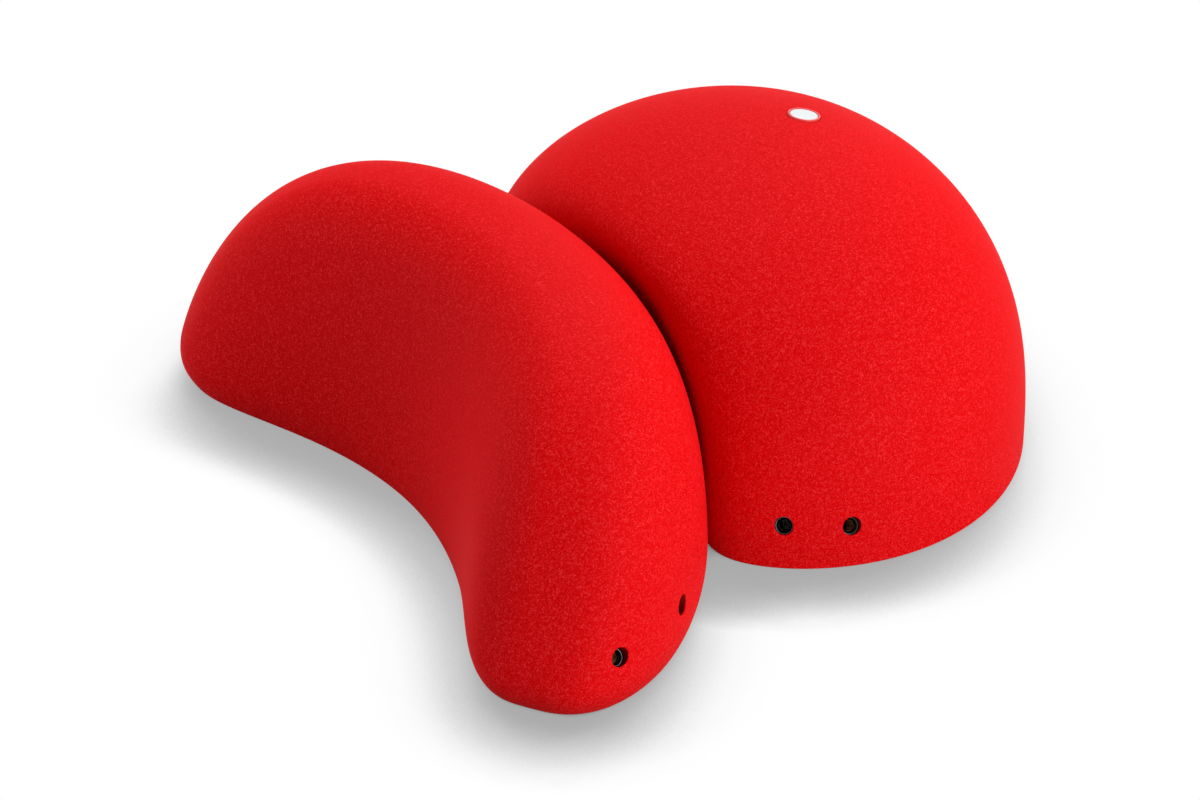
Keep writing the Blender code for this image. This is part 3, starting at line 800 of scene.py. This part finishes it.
# End blocks
# Glued pine, 36 mm thick, sawn and left bare. One is bonded to the plate behind each pair of screw holes,
# where it takes the pull of the screws.
def softwood():
    """Glued pine: wide growth rings along Y, with darker late wood."""
    material, tree, shader = shader_of("glued_pine")
    where = tree.nodes.new("ShaderNodeTexCoord")
    log = tree.nodes.new("ShaderNodeMapping")
    log.inputs["Scale"].default_value = (1, 0.12, 1)
    log.inputs["Location"].default_value = (0.02, 0, -0.09)
    tree.links.new(where.outputs["Object"], log.inputs["Vector"])
    rings = tree.nodes.new("ShaderNodeTexWave")
    rings.wave_type = "RINGS"
    rings.rings_direction = "Y"
    rings.inputs["Scale"].default_value = 62
    rings.inputs["Distortion"].default_value = 2.2
    rings.inputs["Detail"].default_value = 3
    rings.inputs["Detail Scale"].default_value = 2
    tree.links.new(log.outputs["Vector"], rings.inputs["Vector"])
    shade = two_tone(tree, rings.outputs["Fac"], (0.62, 0.42, 0.22), (0.40, 0.22, 0.09), (0.45, 1))
    tree.links.new(shade.outputs["Color"], shader.inputs["Base Color"])
    bump_by(tree, shader, rings.outputs["Fac"], 0.25, 0.0002)
    shader.inputs["Roughness"].default_value = 0.68
    return material


pine = softwood()
for hold in ("crescent", "dome"):
    for end in ("near", "far"):
        dress(f"{hold}_end_block_{end}", pine)


# Studio
# A white floor and a white surround, with soft boxes round the set, and the camera where the photograph was
# taken from.
CAMERA = (-1.06176, -1.66936, 1.32562)
TARGET = (-0.01479, 0.03709, 0.0)
LENS = 118.856
FLOOR_HALF, FLOOR_DOWN, FLOOR_GREY = 9.0, 0.0004, 0.45
SHADE_FROM = (0.653, 0.737, 0.174)  # the side on which the object shades the floor
SHADE_REACH, CONTACT_REACH = 0.065, 0.05
LAMP_AWAY, LAMP_SIZE, LAMP_AIM = 2.6, 1.4, 0.08  # the lamps aim at this height over the middle of the set
# How bright the floor shows (second) where it is open to a share (first) of its surroundings
SHADE = ((0, 0), (1, 1), (0.3, 0.38), (0.48, 0.415), (0.57, 0.44))
SHADE += ((0.68, 0.60), (0.73, 0.72), (0.79, 0.88), (0.86, 0.975))
CONTACT = ((0.08, 0), (1, 1), (0.2, 0.5), (0.45, 0.66), (0.6, 0.84), (0.78, 0.96))


def ramp(tree, value, stops):
    """A grey that runs through (place, level) stops, the first two of which are its ends."""
    made = tree.nodes.new("ShaderNodeValToRGB")
    for stop, (place, level) in enumerate(stops):
        mark = made.color_ramp.elements[stop] if stop < 2 else made.color_ramp.elements.new(place)
        mark.position = place
        mark.color = (level, level, level, 1)
    tree.links.new(value, made.inputs["Fac"])
    return made.outputs["Color"]


def openness(tree, reach, samples):
    """A node that says how much of what lies above a point is free of the object, out to a reach."""
    free = tree.nodes.new("ShaderNodeAmbientOcclusion")
    free.samples = samples
    free.inputs["Distance"].default_value = reach
    return free


def seen(tree):
    """1 for rays that show a surface to the camera, straight, in gloss or through glass, and 0 for others."""
    path = tree.nodes.new("ShaderNodeLightPath").outputs
    through = maths(tree, "MAXIMUM", path["Is Glossy Ray"], path["Is Transmission Ray"])
    return maths(tree, "MAXIMUM", path["Is Camera Ray"], through)


def studio_floor():
    """A flat square just under the wall plane, white to the camera but for the object's soft shadow.

    The shadow falls to the near side. Where the floor meets the object on the other sides it is a little
    darker, and in the screw holes it is dark. The darker of the two shades shows.
    """
    mesh = bpy.data.meshes.new("floor")
    r = FLOOR_HALF
    mesh.from_pydata([(-r, -r, 0), (r, -r, 0), (r, r, 0), (-r, r, 0)], [], [(0, 1, 2, 3)])
    made = bpy.data.objects.new("floor", mesh)
    made.location.z = -FLOOR_DOWN
    bpy.context.scene.collection.objects.link(made)
    material, tree, shader = shader_of("floor_white")
    make, link = tree.nodes.new, tree.links.new
    shader.inputs["Base Color"].default_value = (FLOOR_GREY, FLOOR_GREY, FLOOR_GREY, 1)
    shader.inputs["Roughness"].default_value = 0.9
    shader.inputs["Specular IOR Level"].default_value = 0.0
    back = make("ShaderNodeCombineXYZ")
    for axis, part in zip("XYZ", SHADE_FROM):
        back.inputs[axis].default_value = part
    behind = openness(tree, SHADE_REACH, 16)
    link(back.outputs[0], behind.inputs["Normal"])
    above = openness(tree, CONTACT_REACH, 8)
    depth = ramp(tree, behind.outputs["AO"], SHADE)
    touch = ramp(tree, above.outputs["AO"], CONTACT)
    white = make("ShaderNodeEmission")
    link(maths(tree, "MINIMUM", depth, touch), white.inputs["Strength"])
    pick = make("ShaderNodeMixShader")
    link(seen(tree), pick.inputs["Fac"])
    link(shader.outputs[0], pick.inputs[1])
    link(white.outputs[0], pick.inputs[2])
    link(pick.outputs[0], tree.nodes["Material Output"].inputs["Surface"])
    mesh.materials.append(material)
    made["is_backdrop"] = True


def surround(level):
    """An even white surround that lights at one level and shows to the camera as white."""
    world = bpy.data.worlds.new("surround")
    bpy.context.scene.world = world
    world.use_nodes = True
    tree = world.node_tree
    back = tree.nodes["Background"]
    back.inputs["Color"].default_value = (1, 1, 1, 1)
    pick = tree.nodes.new("ShaderNodeMix")
    pick.inputs["A"].default_value = level
    pick.inputs["B"].default_value = 1.0
    tree.links.new(seen(tree), pick.inputs["Factor"])
    tree.links.new(pick.outputs["Result"], back.inputs["Strength"])


def soft_box(name, azimuth, elevation, level):
    """A square lamp aimed at the set, placed by its azimuth from the camera's side and its elevation.

    Its power, pi squared times the square of its distance times its level, makes a white surface that faces
    it as bright as its level.
    """
    away = np.array(TARGET) - np.array(CAMERA)
    away[2] = 0
    away /= np.linalg.norm(away)
    right = np.array([away[1], -away[0], 0])
    a, e = math.radians(azimuth), math.radians(elevation)
    towards = math.cos(e) * (math.sin(a) * right - math.cos(a) * away) + math.sin(e) * np.array([0, 0, 1])
    lamp = bpy.data.lights.new(name, "AREA")
    lamp.shape = "RECTANGLE"
    lamp.size, lamp.size_y = LAMP_SIZE, LAMP_SIZE
    lamp.energy = math.pi**2 * LAMP_AWAY**2 * level
    made = bpy.data.objects.new(name, lamp)
    made.location = Vector(towards * LAMP_AWAY) + Vector((0, 0, LAMP_AIM))
    made.rotation_euler = Vector(towards).to_track_quat("Z", "Y").to_euler()
    bpy.context.scene.collection.objects.link(made)


studio_floor()
surround(0.02)
soft_box("front right low", 40, 10, 0.63)
soft_box("front right", 45, 38, 0.25)
soft_box("right high", 70, 55, 0.10)
soft_box("right low", 100, 15, 0.24)
soft_box("back right", 160, 30, 0.22)
soft_box("back high", 160, 60, 0.42)
soft_box("back left", -160, 45, 0.24)
soft_box("left", -100, 15, 0.40)
soft_box("front left", -40, 15, 0.10)

view = bpy.data.cameras.new("camera")
view.sensor_width = 36
view.lens = LENS
view.clip_start, view.clip_end = 0.05, 60
camera = bpy.data.objects.new("camera", view)
camera.location = CAMERA
camera.rotation_euler = (Vector(TARGET) - Vector(CAMERA)).to_track_quat("-Z", "Y").to_euler()
bpy.context.scene.collection.objects.link(camera)
bpy.context.scene.camera = camera
bpy.context.scene.view_settings.view_transform = "Standard"

[[list(corner) for corner in box] for box in (cad_box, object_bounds())]
